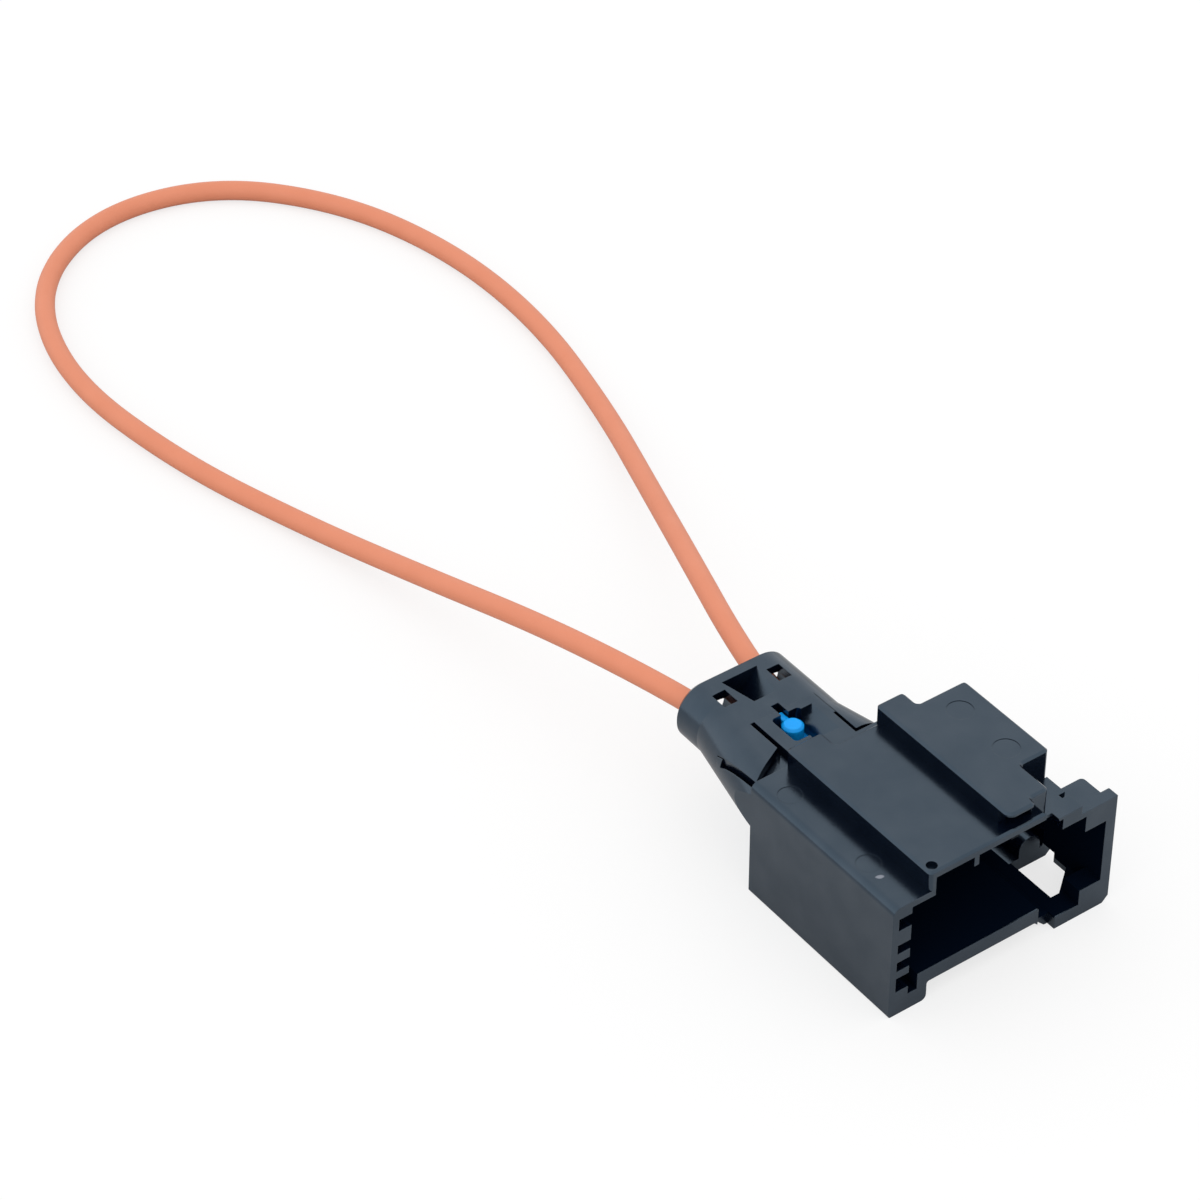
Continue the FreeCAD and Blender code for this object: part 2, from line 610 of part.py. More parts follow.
def shroud_housing():
    """The one-piece moulding: shroud, socket, latch corner, towers, neck and spigots."""
    solid = shroud_shell().cut(socket_hollows())
    additions = latch_corner()
    additions.append(
        block(
            LIP_RIB_LEFT,
            LIP_RIB_LEFT + LIP_RIB_WIDTH,
            0,
            LIP_RIB_LENGTH,
            LIP_RIB_BOTTOM,
            PLATEAU_CEILING,
        )
    )
    additions.append(
        block(
            RIGHT_WALL_INNER,
            SHROUD_WIDTH,
            POST_FOOT_DEPTH - REACH,
            SHROUD_LENGTH,
            SILL_TOP - REACH,
            RIGHT_WALL_TOP,
        )
    )
    additions.append(neck())
    for x in (FIBRE_LEFT, FIBRE_RIGHT):
        additions.append(rod(x, TOWER_RADIUS, TOWER_FRONT, SOCKET_DEPTH))
        additions.append(rod(x, SPIGOT_RADIUS, CAP_FRONT, SPIGOT_REAR))
    solid = solid.fuse(additions)
    lock_slot = front_prism(lock_outline(LOCK_FIT), LOCK_FRONT - LOCK_FIT, LOCK_REAR + LOCK_FIT)
    notch_left = HOOD_RIGHT - NOTCH_WIDTH
    notch_top = BRIDGE_TOP + REACH
    cuts = [
        keyhole_cut(),
        lock_slot,
        block(notch_left, HOOD_RIGHT + REACH, NOTCH_FRONT, NOTCH_REAR, HOOP_TOP, notch_top),
    ]
    for x in (FIBRE_LEFT, FIBRE_RIGHT):
        cuts.append(rod(x, TOWER_MOUTH_RADIUS, TOWER_FRONT - REACH, TOWER_FRONT + TOWER_MOUTH_DEPTH))
        cuts.append(rod(x, NOSE_RADIUS + SLIDE_FIT, TOWER_FRONT, COLLAR_FRONT))
        cuts.append(rod(x, COLLAR_RADIUS + SLIDE_FIT, COLLAR_FRONT, SPIGOT_REAR + REACH))
    hook_low = BRIDGE_BOTTOM - REACH
    hook_high = BRIDGE_TOP + REACH
    cuts.append(
        front_prism(
            (
                (LIP_RIGHT, hook_low, 0),
                (HOOK_RIGHT, hook_low, 0),
                (HOOK_RIGHT, BRIDGE_BOTTOM, 0),
                (HOOK_RIGHT - HOOK_LEAN, BRIDGE_TOP, 0),
                (HOOK_RIGHT - HOOK_LEAN, hook_high, 0),
                (LIP_RIGHT, hook_high, 0),
            ),
            -REACH,
            LIP_DEPTH,
        )
    )
    cuts.append(block(LIP_RIGHT, HOOK_RIGHT, 0, HOOK_DEPTH, hook_low, BRIDGE_TOP - HOOK_PLATE))
    for x, y in HOOD_MARKS:
        place = FreeCAD.Vector(x, y, HOOD_TOP - MARK_DEPTH)
        cuts.append(Part.makeCylinder(HOOD_MARK_RADIUS, REACH, place))
    place = FreeCAD.Vector(*LIP_DIMPLE, PLATEAU_TOP - LIP_DIMPLE_DEPTH)
    cuts.append(Part.makeCylinder(LIP_DIMPLE_RADIUS, REACH, place))
    for x, y in SHELF_MARKS:
        place = FreeCAD.Vector(x, y, SHELF_TOP - MARK_DEPTH)
        cuts.append(Part.makeCylinder(SHELF_MARK_RADIUS, REACH, place))
    return solid.cut(cuts).removeSplitter()


def rear_cap():
    """Clip-on cap with two fibre bores, two windows, the scoop between and two snap arms."""
    body = oval_form(0).common(block(0, SHROUD_WIDTH, CAP_FRONT, OVERALL_LENGTH, 0, HOOD_TOP))
    body = body.makeChamfer(CAP_REAR_BEVEL, rim_edges(body, 1, OVERALL_LENGTH))
    shell = oval_form(0).cut(oval_form(ARM_THICKNESS))
    overlap = CAP_FRONT + REACH
    left_arm = plan_prism(
        (
            (LEFT_ARM_OUTER_FRONT, LEFT_ARM_TIP, 0),
            (LEFT_ARM_INNER, LEFT_ARM_NOTCH, 0),
            (LEFT_ARM_INNER, overlap, 0),
            (LEFT_ARM_OUTER_REAR, overlap, 0),
        ),
        ARM_BOTTOM,
        HOOD_TOP,
    )
    right_arm = block(RIGHT_ARM_INNER, SHROUD_WIDTH, RIGHT_ARM_TIP, overlap, ARM_BOTTOM, HOOD_TOP)
    solid = body.fuse(shell.common(left_arm.fuse(right_arm)))
    cuts = [keyhole_cut()]
    for side, x in ((-1, FIBRE_LEFT), (1, FIBRE_RIGHT)):
        cuts.append(rod(x, CAP_BORE_RADIUS, CAP_FRONT, OVERALL_LENGTH + REACH))
        mouth = FreeCAD.Vector(x, OVERALL_LENGTH - CAP_MOUTH_FLARE, FIBRE_HEIGHT)
        flared = CAP_BORE_RADIUS + CAP_MOUTH_FLARE
        cuts.append(
            Part.makeCone(CAP_BORE_RADIUS, flared, CAP_MOUTH_FLARE, mouth, FreeCAD.Vector(0, 1, 0))
        )
        sides = sorted(FIBRE_MIDDLE + side * reach for reach in (CAP_WINDOW_INNER, CAP_WINDOW_OUTER))
        front = CAP_FRONT + CAP_WINDOW_START * CAP_LENGTH
        rear = CAP_FRONT + CAP_WINDOW_END * CAP_LENGTH
        cuts.append(block(*sides, front, rear, FIBRE_HEIGHT, HOOD_TOP))
    scoop = []
    for place, size in ((SCOOP_START, SCOOP_FADE), (SCOOP_END, 1.0)):
        y = CAP_FRONT + place * CAP_LENGTH
        spread = 2 * size * SCOOP_HALF_WIDTH
        depth = size * SCOOP_DEPTH
        points = [
            FreeCAD.Vector(FIBRE_MIDDLE - spread, y, SHELF_TOP + depth),
            FreeCAD.Vector(FIBRE_MIDDLE, y, SHELF_TOP - depth),
            FreeCAD.Vector(FIBRE_MIDDLE + spread, y, SHELF_TOP + depth),
        ]
        scoop.append(rounded_outline(points, [0, 0, 0]))
    cuts.append(Part.makeLoft(scoop, True, True))
    return solid.cut(cuts).removeSplitter()


def lock_slider():
    """Forked lock pushed in from below, with the boss and finger seen in the keyhole."""
    fork = front_prism(lock_outline(0), LOCK_FRONT, LOCK_REAR)
    place = FreeCAD.Vector(FIBRE_MIDDLE, LOCK_MIDDLE, LOCK_SHOULDER - LOCK_BASE)
    boss = Part.makeCylinder(LOCK_BOSS_RADIUS, LOCK_BOSS_TOP - LOCK_SHOULDER + LOCK_BASE, place)
    boss = boss.makeChamfer(RIM_BEVEL, rim_edges(boss, 2, LOCK_BOSS_TOP))
    half = LOCK_FINGER_WIDTH / 2
    finger = block(
        FIBRE_MIDDLE - half,
        FIBRE_MIDDLE + half,
        LOCK_MIDDLE,
        LOCK_FINGER_REAR,
        LOCK_SHOULDER,
        LOCK_BOSS_TOP - RIM_BEVEL,
    )
    return fork.fuse([boss, finger]).removeSplitter()


def ferrule(x):
    """Turned ferrule: nose, collar, lock neck and crimped tail on the jacket."""
    profile = (
        (FIBRE_RADIUS, NOSE_FRONT),
        (NOSE_RADIUS - TAIL_CRIMP, NOSE_FRONT),
        (NOSE_RADIUS, NOSE_FRONT + TAIL_CRIMP),
        (NOSE_RADIUS, COLLAR_FRONT),
        (COLLAR_RADIUS, COLLAR_FRONT),
        (COLLAR_RADIUS, NECK_FRONT),
        (NECK_RADIUS, NECK_FRONT),
        (NECK_RADIUS, NECK_REAR),
        (COLLAR_RADIUS, NECK_REAR),
        (COLLAR_RADIUS, STRIP_LINE),
        (TAIL_RADIUS, STRIP_LINE),
        (TAIL_RADIUS, TAIL_REAR),
        (JACKET_RADIUS, TAIL_REAR),
        (JACKET_RADIUS, STRIP_LINE),
        (FIBRE_RADIUS, STRIP_LINE),
    )
    points = [FreeCAD.Vector(x + radius, y, FIBRE_HEIGHT) for radius, y in profile]
    face = Part.Face(rounded_outline(points, [0] * len(points)))
    axis = FreeCAD.Vector(x, 0, FIBRE_HEIGHT)
    return face.revolve(axis, FreeCAD.Vector(0, 1, 0), 360)


def fibre_loop():
    """Jacketed fibre from one ferrule round to the other, on straight runs and arcs."""
    points = [
        FreeCAD.Vector(FIBRE_LEFT, STRIP_LINE, FIBRE_HEIGHT),
        FreeCAD.Vector(FIBRE_LEFT, STRIP_LINE + JACKET_STRAIGHT, FIBRE_HEIGHT),
    ]
    points += [FreeCAD.Vector(*point) for point in LOOP_POINTS]
    points += [
        FreeCAD.Vector(FIBRE_RIGHT, STRIP_LINE + JACKET_STRAIGHT, FIBRE_HEIGHT),
        FreeCAD.Vector(FIBRE_RIGHT, STRIP_LINE, FIBRE_HEIGHT),
    ]
    edges = []
    radii = []
    last = points[0]
    for before, point, after in zip(points, points[1:], points[2:]):
        half_turn = (point - before).getAngle(after - point) / 2
        shorter = min((point - before).Length, (after - point).Length)
        radii.append(BEND_SHARE * shorter / math.tan(half_turn))
        start, middle, end = corner_arc(before, point, after, radii[-1])
        edges.append(Part.LineSegment(last, start).toShape())
        edges.append(Part.Arc(start, middle, end).toShape())
        last = end
    edges.append(Part.LineSegment(last, points[-1]).toShape())
    route = Part.Wire(edges)
    circle = Part.Circle(points[0], FreeCAD.Vector(0, 1, 0), JACKET_RADIUS)
    tube = route.makePipeShell([Part.Wire(circle.toShape())], True, False)
    ratio = tube.Volume / (math.pi * JACKET_RADIUS ** 2 * route.Length)
    print("bend radii", [round(radius, 1) for radius in radii])
    print("jacket length", round(route.Length, 1), "volume ratio", round(ratio, 4))
    return tube


pieces = {
    "shroud_housing": shroud_housing(),
    "rear_cap": rear_cap(),
    "lock_slider": lock_slider(),
    "ferrule_left": ferrule(FIBRE_LEFT),
    "ferrule_right": ferrule(FIBRE_RIGHT),
    "bare_fibre_left": rod(FIBRE_LEFT, FIBRE_RADIUS, NOSE_FRONT, STRIP_LINE),
    "bare_fibre_right": rod(FIBRE_RIGHT, FIBRE_RADIUS, NOSE_FRONT, STRIP_LINE),
    "fibre_loop": fibre_loop(),
}

os.makedirs("parts", exist_ok=True)
for name, shape in pieces.items():
    shape = shape.translated(MIDDLE)
    shape.exportStep(os.path.join("parts", name + ".step"))
    print(name, "solids", len(shape.Solids), "volume", round(shape.Volume, 2), "valid", shape.isValid())
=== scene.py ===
import math

import bpy
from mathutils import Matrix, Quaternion, Vector


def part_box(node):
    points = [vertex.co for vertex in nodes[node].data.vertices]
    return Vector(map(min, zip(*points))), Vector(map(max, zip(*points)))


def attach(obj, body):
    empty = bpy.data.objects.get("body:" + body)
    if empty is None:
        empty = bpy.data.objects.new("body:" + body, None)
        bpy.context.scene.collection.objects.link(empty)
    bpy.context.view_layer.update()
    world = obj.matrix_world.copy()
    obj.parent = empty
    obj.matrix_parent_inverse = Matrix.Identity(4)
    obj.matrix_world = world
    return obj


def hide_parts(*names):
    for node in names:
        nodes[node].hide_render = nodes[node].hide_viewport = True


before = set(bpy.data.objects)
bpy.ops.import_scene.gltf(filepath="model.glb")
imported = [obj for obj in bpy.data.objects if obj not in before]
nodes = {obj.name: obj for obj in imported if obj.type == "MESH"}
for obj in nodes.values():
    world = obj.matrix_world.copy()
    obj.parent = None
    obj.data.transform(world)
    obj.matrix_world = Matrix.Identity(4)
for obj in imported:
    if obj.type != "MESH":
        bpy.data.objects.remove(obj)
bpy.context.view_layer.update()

# Bare fibre ends
# The two stripped ends of the fibre: clear acrylic cores, cut and polished flat, that
# carry the light. Each sits in its ferrule and meets the jacket at the strip line.

ACRYLIC_CLEAR = (0.90, 0.93, 0.91, 1)
ACRYLIC_IOR = 1.49
ACRYLIC_CLARITY = 0.85
ACRYLIC_ROUGHNESS = 0.04
ACRYLIC_HAZE = 0.1
ACRYLIC_HAZE_SIZE = 0.0007


class Value:
    """One output of a node. Arithmetic on it adds Math nodes to the same tree."""

    def __init__(self, shading, socket):
        self.shading = shading
        self.socket = socket

    def __add__(self, other):
        return self.shading.math("ADD", self, other)

    def __sub__(self, other):
        return self.shading.math("SUBTRACT", self, other)

    def __mul__(self, other):
        return self.shading.math("MULTIPLY", self, other)

    def __radd__(self, other):
        return self.shading.math("ADD", other, self)

    def __rsub__(self, other):
        return self.shading.math("SUBTRACT", other, self)

    def __rmul__(self, other):
        return self.shading.math("MULTIPLY", other, self)


class Shading:
    """A node tree. Its node method adds any node, and fill links or sets sockets."""

    def __init__(self, tree):
        self.tree = tree

    def node(self, kind, settings=None, sockets=None, output=0):
        """Adds a node, sets it up, then fills or links its sockets, and returns one output."""
        made = self.tree.nodes.new(kind)
        for name, setting in (settings or {}).items():
            setattr(made, name, setting)
        self.fill(made, sockets or {})
        return Value(self, made.outputs[output])

    def fill(self, made, sockets):
        """Links each socket that is given another node's output, and sets the others."""
        for name, given in sockets.items():
            if isinstance(given, Value):
                self.tree.links.new(given.socket, made.inputs[name])
            else:
                made.inputs[name].default_value = given

    def math(self, operation, first, second=0.0):
        """One step of arithmetic on numbers and outputs."""
        return self.node("ShaderNodeMath", {"operation": operation}, {0: first, 1: second})

    def along(self, vector, axis):
        """One coordinate of a vector."""
        return self.node("ShaderNodeSeparateXYZ", {}, {"Vector": vector}, output=axis)

    def rise(self, value, start, end):
        """0 where the value is at start or short of it, 1 from end on, straight between."""
        sockets = {"Value": value, "From Min": start, "From Max": end}
        return self.node("ShaderNodeMapRange", {}, sockets)

    def noise(self, place, size, detail=2.0):
        """Cloudy pattern from 0 to 1 whose patches are about the size given in metres."""
        sockets = {"Vector": place, "Scale": 1 / size, "Detail": detail}
        return self.node("ShaderNodeTexNoise", {}, sockets)

    def blend(self, factor, first, second):
        """Colour between two colours."""
        sockets = {0: factor, 6: first, 7: second}
        return self.node("ShaderNodeMix", {"data_type": "RGBA"}, sockets, output=2)


class Finish(Shading):
    """A material with one main shader, put on pieces."""

    def __init__(self, name):
        self.material = bpy.data.materials.new(name)
        self.material.use_nodes = True
        super().__init__(self.material.node_tree)
        self.shader = self.tree.nodes["Principled BSDF"]

    def place(self):
        """Where each point of the piece is, in metres."""
        return self.node("ShaderNodeTexCoord", output="Object")

    def bump(self, height, strength, depth, **base):
        """Fine relief from a height of 0 to 1, over another normal if base gives one."""
        sockets = {"Height": height, "Strength": strength, "Distance": depth, **base}
        return self.node("ShaderNodeBump", {}, sockets)

    def surface(self, **sockets):
        """Sets the shader's own sockets, with _ for each space in a socket's name."""
        self.fill(self.shader, {name.replace("_", " "): given for name, given in sockets.items()})

    def colour(self):
        """The output that now feeds the shader's base colour."""
        return Value(self, self.shader.inputs["Base Color"].links[0].from_socket)

    def cover(self, factor, over):
        """Shows another shader over the main one, as far as the factor says."""
        under = Value(self, self.shader.outputs[0])
        mixed = self.node("ShaderNodeMixShader", {}, {0: factor, 1: under, 2: over})
        self.fill(self.tree.nodes["Material Output"], {"Surface": mixed})

    def dress(self, *pieces):
        """Puts the finish on pieces."""
        for piece in pieces:
            piece.data.materials.clear()
            piece.data.materials.append(self.material)


clear_core = Finish("clear_core")
core_haze = clear_core.noise(clear_core.place(), ACRYLIC_HAZE_SIZE)
clear_core.surface(
    Base_Color=ACRYLIC_CLEAR,
    Roughness=ACRYLIC_ROUGHNESS + ACRYLIC_HAZE * core_haze,
    IOR=ACRYLIC_IOR,
    Transmission_Weight=ACRYLIC_CLARITY,
)
clear_core.dress(nodes["bare_fibre_left"], nodes["bare_fibre_right"])

# Ferrules
# Two turned brass sleeves, crimped on the ends of the jacket. They slide into the
# housing's bores from behind, and the lock's fork holds the neck of each.

BRASS_LIGHT = (0.78, 0.57, 0.27, 1)
BRASS_DARK = (0.52, 0.35, 0.13, 1)
BRASS_ROUGHNESS = 0.22
TARNISH_ROUGHNESS = 0.2
TARNISH_SIZE = 0.001
TARNISH_DETAIL = 4.0
TOOL_FEED = 0.00012
TOOL_MARK_STRENGTH = 1.0
TOOL_MARK_DEPTH = 0.000004

brass = Finish("turned_brass")
brass_place = brass.place()
tool_turns = brass.along(brass_place, "Y") * (2 * math.pi / TOOL_FEED)
tarnish = brass.noise(brass_place, TARNISH_SIZE, TARNISH_DETAIL)
brass.surface(
    Base_Color=brass.blend(tarnish, BRASS_LIGHT, BRASS_DARK),
    Metallic=1.0,
    Roughness=BRASS_ROUGHNESS + TARNISH_ROUGHNESS * tarnish,
    Normal=brass.bump(brass.math("SINE", tool_turns), TOOL_MARK_STRENGTH, TOOL_MARK_DEPTH),
)
brass.dress(nodes["ferrule_left"], nodes["ferrule_right"])

# Ferrule lock
# A blue moulded fork, pushed up from below until its prongs hold both ferrules by the
# neck. Only its round boss and finger show, in the keyhole window on top.

LOCK_BLUE = (0.003, 0.410, 1.000, 1)
LOCK_BLUE_DEEP = (0.002, 0.350, 0.980, 1)
LOCK_CLOUD_SIZE = 0.0012
LOCK_GLOSS = 0.25
LOCK_ROUGHNESS = 0.30
LOCK_GRAIN_ROUGHNESS = 0.12
LOCK_GRAIN_SIZE = 0.00009
LOCK_GRAIN_DETAIL = 3.0
LOCK_GRAIN_STRENGTH = 0.4
LOCK_GRAIN_DEPTH = 0.00001
LOCK_EDGE_ROUND = 0.00018
LOCK_EDGE_SAMPLES = 6

lock_blue = Finish("lock_blue")
lock_place = lock_blue.place()
lock_cloud = lock_blue.noise(lock_place, LOCK_CLOUD_SIZE)
lock_grain = lock_blue.noise(lock_place, LOCK_GRAIN_SIZE, LOCK_GRAIN_DETAIL)
lock_round = lock_blue.node(
    "ShaderNodeBevel", {"samples": LOCK_EDGE_SAMPLES}, {"Radius": LOCK_EDGE_ROUND}
)
lock_blue.surface(
    Base_Color=lock_blue.blend(lock_cloud, LOCK_BLUE, LOCK_BLUE_DEEP),
    Roughness=LOCK_ROUGHNESS + LOCK_GRAIN_ROUGHNESS * lock_grain,
    Specular_IOR_Level=LOCK_GLOSS,
    Normal=lock_blue.bump(lock_grain, LOCK_GRAIN_STRENGTH, LOCK_GRAIN_DEPTH, Normal=lock_round),
)
lock_blue.dress(nodes["lock_slider"])

# Shroud housing
# One black moulding in a satin engineering plastic: the shroud round the keyed socket,
# the hood and latch corner on its right, and the oval neck that carries the ferrules.

PLASTIC_BLACK = (0.0003, 0.0008, 0.0050, 1)
PLASTIC_CLOUD = (0.0014, 0.0042, 0.0110, 1)
PLASTIC_EDGE = (0.016, 0.021, 0.027, 1)
PLASTIC_GLOSS = 0.85
PLASTIC_GLOSS_TINT = (0.54, 0.77, 1.0, 1)
PLASTIC_IOR = 1.6
PLASTIC_ROUGHNESS = 0.15
CLOUD_ROUGHNESS = 0.05
CLOUD_DETAIL = 3.0
FLOW_COAT = 0.17
FLOW_COAT_ROUGHNESS = 0.25
FLOW_CLOUD = (0.35, 0.65)
GRAIN_ROUGHNESS = 0.04
GRAIN_SIZE = 0.00014
GRAIN_DETAIL = 3.0
GRAIN_STRENGTH = 0.4
GRAIN_DEPTH = 0.00002
EDGE_ROUND = 0.00007
EDGE_SAMPLES = 4
EDGE_WEAR_TURN = (0.985, 0.85)
EDGE_WEAR_LEAST = 0.4
EDGE_WEAR_CLOUD = 0.6
CORNER_REACH = 0.0004
CORNER_OPEN = (0.75, 0.95)


def moulded_black(name, cloud_size):
    """Satin black plastic: spark-eroded grain, cloudy flow in the gloss, paler worn edges.

    Outer edges alone are rounded and worn. An inner corner, which is closed in within
    CORNER_REACH, keeps its plain normal.
    """
    finish = Finish(name)
    place = finish.place()
    grain = finish.noise(place, GRAIN_SIZE, GRAIN_DETAIL)
    cloud = finish.noise(place, cloud_size, CLOUD_DETAIL)
    flat = finish.node("ShaderNodeNewGeometry", output="Normal")
    bent = finish.node("ShaderNodeBevel", {"samples": EDGE_SAMPLES}, {"Radius": EDGE_ROUND})
    openness = finish.node(
        "ShaderNodeAmbientOcclusion",
        {"samples": EDGE_SAMPLES},
        {"Distance": CORNER_REACH},
        output="AO",
    )
    outer = finish.rise(openness, *CORNER_OPEN)
    rounded = finish.node(
        "ShaderNodeMix", {"data_type": "VECTOR"}, {0: outer, 4: flat, 5: bent}, output=1
    )
    facing = finish.node(
        "ShaderNodeVectorMath", {"operation": "DOT_PRODUCT"}, {0: rounded, 1: flat}, output="Value"
    )
    worn = finish.rise(facing, *EDGE_WEAR_TURN) * (EDGE_WEAR_LEAST + EDGE_WEAR_CLOUD * cloud)
    skin = finish.blend(cloud, PLASTIC_BLACK, PLASTIC_CLOUD)
    finish.surface(
        Base_Color=finish.blend(worn, skin, PLASTIC_EDGE),
        Roughness=PLASTIC_ROUGHNESS + CLOUD_ROUGHNESS * cloud + GRAIN_ROUGHNESS * grain,
        IOR=PLASTIC_IOR,
        Specular_IOR_Level=PLASTIC_GLOSS,
        Specular_Tint=PLASTIC_GLOSS_TINT,
        Coat_Weight=FLOW_COAT * finish.rise(cloud, *FLOW_CLOUD),
        Coat_Roughness=FLOW_COAT_ROUGHNESS,
        Normal=finish.bump(grain, GRAIN_STRENGTH, GRAIN_DEPTH, Normal=rounded),
    )
    return finish


def inside_room(finish, place, low, high):
    """1 inside a box and 0 outside it.

    A place's distances from the box's middle along the three axes are taken in half sizes
    of the box. The place is inside where the largest of the three is under 1.
    """
    room = {"Vector": place, "Location": (low + high) / 2, "Scale": (high - low) / 2}
    from_middle = finish.node("ShaderNodeMapping", {"vector_type": "TEXTURE"}, room)
    apart = finish.node("ShaderNodeVectorMath", {"operation": "ABSOLUTE"}, {0: from_middle})
    largest = 0.0
    for axis in "XYZ":
        largest = finish.math("MAXIMUM", finish.along(apart, axis), largest)
    return finish.math("LESS_THAN", largest, 1.0)


HOUSING_CLOUD_SIZE = 0.0035
FLECK_PALE = (0.23, 0.23, 0.26, 1)
FLECK_PLACE = (-0.01165, -0.01372, 0.0138)
FLECK_RADII = (0.00042, 0.00024, 0.00024)
FLECK_TURN = (0, 0, math.radians(-22))
FLECK_RAGGED = 0.5
FLECK_RAGGED_SIZE = 0.0002
FLECK_EDGE = (1.35, 1.0)
SOCKET_ROOMS = (
    (Vector((-0.01155, -0.01788, 0.0013)), Vector((0.01230, -0.00985, 0.0129))),
    (Vector((-0.01155, -0.00985, 0.0013)), Vector((0.00800, 0.00200, 0.0042))),
)

housing_black = moulded_black("housing_plastic", HOUSING_CLOUD_SIZE)
housing_place = housing_black.place()

# A small pale fleck on the shelf, with a ragged edge.
fleck_place = housing_black.node(
    "ShaderNodeMapping",
    {"vector_type": "TEXTURE"},
    {
        "Vector": housing_place,
        "Location": FLECK_PLACE,
        "Rotation": FLECK_TURN,
        "Scale": FLECK_RADII,
    },
)
fleck_reach = housing_black.node(
    "ShaderNodeVectorMath", {"operation": "LENGTH"}, {0: fleck_place}, output="Value"
)
fleck_ragged = FLECK_RAGGED * housing_black.noise(housing_place, FLECK_RAGGED_SIZE)
fleck = housing_black.rise(fleck_reach + fleck_ragged, *FLECK_EDGE)
housing_black.surface(Base_Color=housing_black.blend(fleck, housing_black.colour(), FLECK_PALE))

# The inside of the socket is taken as matt, because it shows no gloss in the photograph.
socket_inside = 0.0
for low, high in SOCKET_ROOMS:
    in_room = inside_room(housing_black, housing_place, low, high)
    socket_inside = housing_black.math("MAXIMUM", socket_inside, in_room)
matt_black = housing_black.node("ShaderNodeBsdfDiffuse", {}, {"Color": PLASTIC_CLOUD})
housing_black.cover(socket_inside, matt_black)
housing_black.dress(nodes["shroud_housing"])

# Rear cap
# A separate black moulding that clips on the neck with two snap arms. It guides both
# jackets through flared bores, and two small windows in its top show them.

CAP_CLOUD_SIZE = 0.0024

moulded_black("cap_plastic", CAP_CLOUD_SIZE).dress(nodes["rear_cap"])

# Fibre loop
# One length of orange jacketed fibre, crimped at both ends. It runs straight out of the cap's
# left bore, down to the table, round in a loose drop-shaped loop, and back in at the right.

JACKET_DIAMETER = 0.0023
JACKET_ROUTE = (
    (-0.00805, 0.0103, 0.01045),
    (-0.00805, 0.0158, 0.01045),
    (-0.00995, 0.0255, 0.0102),
    (-0.01195, 0.0395, 0.0080),
    (-0.01435, 0.0570, 0.0038),
    (-0.01785, 0.0740, 0.00115),
    (-0.02315, 0.0920, 0.00115),
    (-0.02535, 0.1125, 0.00115),
    (-0.01975, 0.1295, 0.00115),
    (-0.00695, 0.1385, 0.00115),
    (0.00805, 0.1363, 0.00115),
    (0.01855, 0.1240, 0.00115),
    (0.02335, 0.1080, 0.00115),
    (0.02355, 0.0905, 0.00115),
    (0.01955, 0.0720, 0.00115),
    (0.01255, 0.0540, 0.0044),
    (0.00545, 0.0370, 0.0086),
    (0.00115, 0.0255, 0.0101),
    (-0.00141, 0.0158, 0.01045),
    (-0.00141, 0.0103, 0.01045),
)
JACKET_STEPS_ALONG = 16
JACKET_STEPS_ROUND = 8
JACKET_ORANGE = (0.792, 0.280, 0.160, 1)
JACKET_ORANGE_DEEP = (0.685, 0.208, 0.100, 1)
JACKET_CLOUD_SIZE = 0.004
JACKET_CLOUD_SHARE = 0.5
JACKET_SKIN_SIZE = 0.00012
JACKET_SKIN_SHARE = 0.25
JACKET_DETAIL = 3.0
JACKET_ROUGHNESS = 0.42
JACKET_SKIN_ROUGHNESS = 0.12
JACKET_SKIN_STRENGTH = 0.3
JACKET_SKIN_DEPTH = 0.00002

jacket_curve = bpy.data.curves.new("fibre_jacket", "CURVE")
jacket_curve.dimensions = "3D"
jacket_line = jacket_curve.splines.new("NURBS")
jacket_line.points.add(len(JACKET_ROUTE) - 1)
for control, place in zip(jacket_line.points, JACKET_ROUTE):
    control.co = (*place, 1)
jacket_line.order_u = 3
jacket_line.use_endpoint_u = True
jacket_curve.resolution_u = JACKET_STEPS_ALONG
jacket_curve.bevel_depth = JACKET_DIAMETER / 2
jacket_curve.bevel_resolution = JACKET_STEPS_ROUND
jacket_curve.use_fill_caps = True
jacket = bpy.data.objects.new("fibre_jacket", jacket_curve)
bpy.context.collection.objects.link(jacket)

jacket_orange = Finish("jacket_orange")
jacket_place = jacket_orange.place()
jacket_skin = jacket_orange.noise(jacket_place, JACKET_SKIN_SIZE, JACKET_DETAIL)
jacket_cloud = jacket_orange.noise(jacket_place, JACKET_CLOUD_SIZE, JACKET_DETAIL)
jacket_deepness = JACKET_CLOUD_SHARE * jacket_cloud + JACKET_SKIN_SHARE * jacket_skin
jacket_orange.surface(
    Base_Color=jacket_orange.blend(jacket_deepness, JACKET_ORANGE, JACKET_ORANGE_DEEP),
    Roughness=JACKET_ROUGHNESS + JACKET_SKIN_ROUGHNESS * jacket_skin,
    Normal=jacket_orange.bump(jacket_skin, JACKET_SKIN_STRENGTH, JACKET_SKIN_DEPTH),
)
jacket_orange.dress(jacket)
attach(jacket, "root")
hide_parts("fibre_loop")

# Studio
# A white table under soft light from all round, brighter on the left, with one large soft
# lamp above. The table shows white to the camera, dimmer in the gloss, and keeps a shadow.

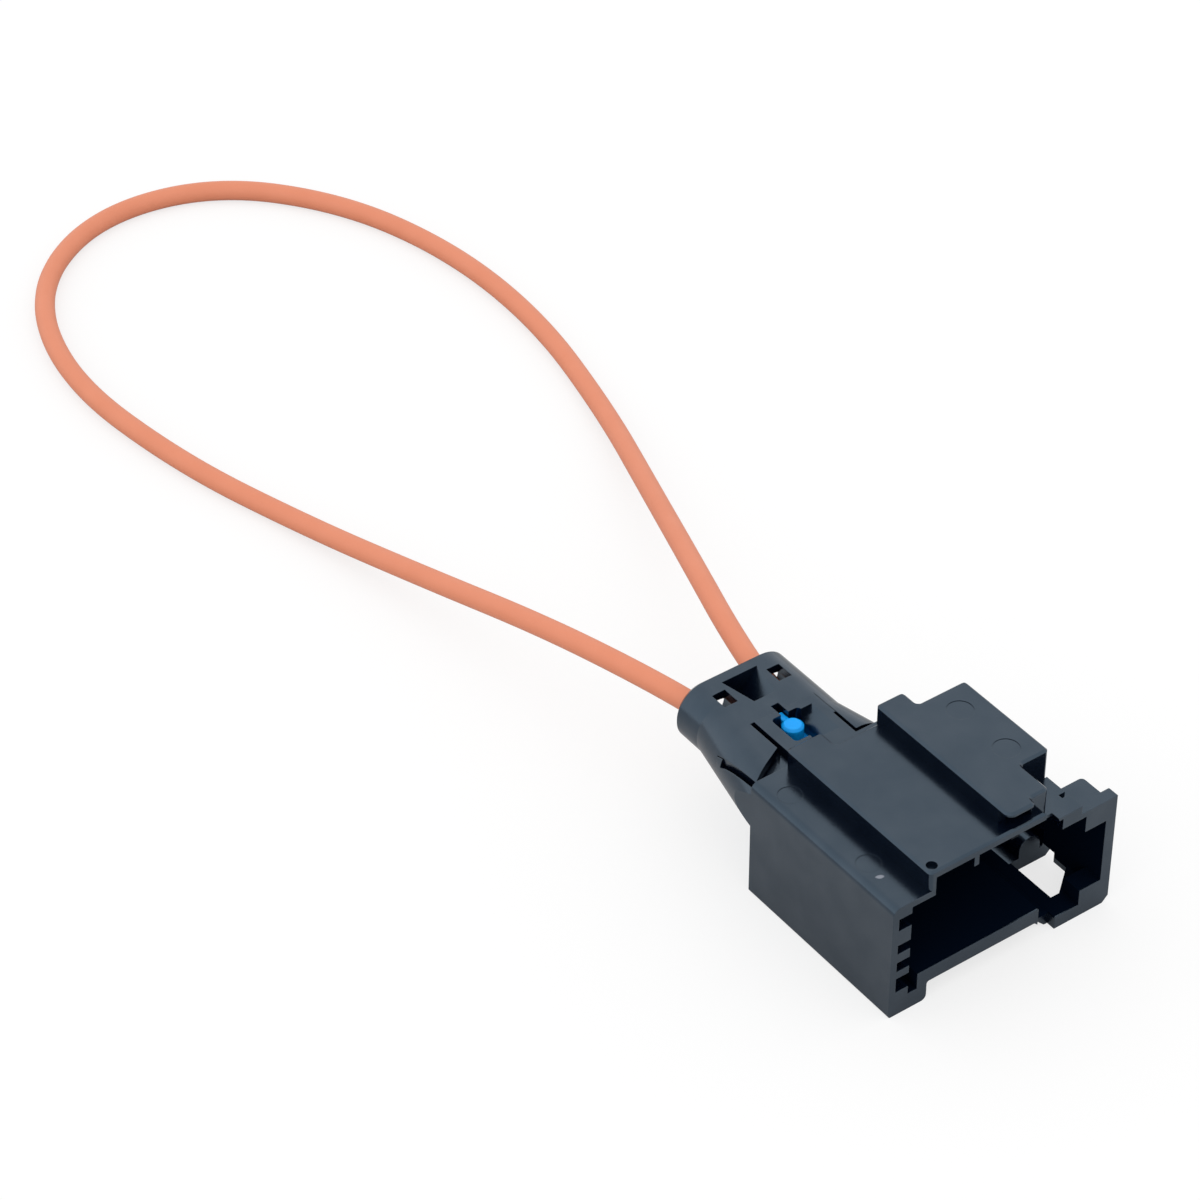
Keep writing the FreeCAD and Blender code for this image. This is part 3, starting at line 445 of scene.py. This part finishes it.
WHITE = (1, 1, 1, 1)
FLOOR_WHITE = (0.97, 0.97, 0.97, 1)
FLOOR_GREY = (0.56, 0.56, 0.56, 1)
FLOOR_ROUGHNESS = 0.9
FLOOR_HALF = 2.0
FLOOR_OWN_LIGHT = 0.72
FLOOR_GLOSS_LIGHT = 0.1
SKY_STRENGTH = 1.0
SKY_LEFT_GAIN = 0.25
SKY_HELD_BACK = 0.75
ONE_MIRROR = 1.5
LAMP_WIDTH = 0.6
LAMP_DEPTH = 0.4
LAMP_WATTS = 0.12
LAMP_PLACE = (0.15, -0.1, 0.6)
LAMP_AIM = Vector((0, 0.05, 0))

floor_mesh = bpy.data.meshes.new("floor")
floor_turns = ((-1, -1), (1, -1), (1, 1), (-1, 1))
floor_corners = [(x * FLOOR_HALF, y * FLOOR_HALF, 0.0) for x, y in floor_turns]
floor_mesh.from_pydata(floor_corners, [], [(0, 1, 2, 3)])
floor = bpy.data.objects.new("floor", floor_mesh)
bpy.context.collection.objects.link(floor)

floor_white = Finish("floor_white")
to_camera = floor_white.node("ShaderNodeLightPath", output="Is Camera Ray")
to_gloss = floor_white.node("ShaderNodeLightPath", output="Is Glossy Ray")
to_clear = floor_white.node("ShaderNodeLightPath", output="Is Transmission Ray")
floor_white.surface(
    Base_Color=floor_white.blend(to_camera, FLOOR_GREY, FLOOR_WHITE),
    Roughness=FLOOR_ROUGHNESS,
    Specular_IOR_Level=0.0,
)
floor_white.cover(
    to_camera * FLOOR_OWN_LIGHT + (to_gloss + to_clear) * FLOOR_GLOSS_LIGHT,
    floor_white.node("ShaderNodeEmission", {}, {"Color": WHITE, "Strength": 1.0}),
)
floor_white.dress(floor)

world = bpy.data.worlds.new("studio")
world.use_nodes = True
sky = Shading(world.node_tree)
sky_across = sky.along(sky.node("ShaderNodeTexCoord", output="Generated"), "X")
sky_left = sky.math("MAXIMUM", 0.0, 0.0 - sky_across)
# Light that two glossy faces pass on is held back, so that inner corners stay dark.
mirrors = sky.node("ShaderNodeLightPath", output="Glossy Depth")
twice_mirrored = sky.math("GREATER_THAN", mirrors, ONE_MIRROR)
sky_light = (SKY_STRENGTH + SKY_LEFT_GAIN * sky_left) * (1.0 - SKY_HELD_BACK * twice_mirrored)
sky.fill(sky.tree.nodes["Background"], {"Color": WHITE, "Strength": sky_light})
bpy.context.scene.world = world

lamp = bpy.data.lights.new("overhead_lamp", "AREA")
lamp.shape = "RECTANGLE"
lamp.size = LAMP_WIDTH
lamp.size_y = LAMP_DEPTH
lamp.energy = LAMP_WATTS
lamp_stand = bpy.data.objects.new("overhead_lamp", lamp)
lamp_stand.location = LAMP_PLACE
lamp_stand.rotation_euler = (lamp_stand.location - LAMP_AIM).to_track_quat("Z", "Y").to_euler()
bpy.context.collection.objects.link(lamp_stand)

# Camera
# Seen from the front left and above, as in the photograph. The shroud's front left lower
# corner is set at its pixel, at the distance that the perspective gives.

PHOTO_SIZE = 1200
FOCAL_PIXELS = 4000
CORNER_PIXEL = Vector((888, 1019))
CORNER_DISTANCE = 0.370
AZIMUTH = math.radians(-35.6)
ELEVATION = math.radians(39.5)
ROLL = math.radians(0.4)
SENSOR_WIDTH = 36.0
NEAREST = 0.01
FARTHEST = 10.0

lens = bpy.data.cameras.new("camera")
lens.sensor_width = SENSOR_WIDTH
lens.lens = SENSOR_WIDTH * FOCAL_PIXELS / PHOTO_SIZE
lens.clip_start = NEAREST
lens.clip_end = FARTHEST
camera = bpy.data.objects.new("camera", lens)
back = Vector((
    math.sin(AZIMUTH) * math.cos(ELEVATION),
    -math.cos(AZIMUTH) * math.cos(ELEVATION),
    math.sin(ELEVATION),
))
turn = (-back).to_track_quat("-Z", "Y") @ Quaternion((0, 0, 1), -ROLL)
corner = (CORNER_PIXEL - Vector((PHOTO_SIZE, PHOTO_SIZE)) / 2) / FOCAL_PIXELS
to_corner = turn @ Vector((corner.x, -corner.y, -1)) * CORNER_DISTANCE
camera.rotation_mode = "QUATERNION"
camera.rotation_quaternion = turn
camera.location = Vector(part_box("shroud_housing")[0]) - to_corner
bpy.context.collection.objects.link(camera)
bpy.context.scene.camera = camera
bpy.context.scene.view_settings.view_transform = "Standard"
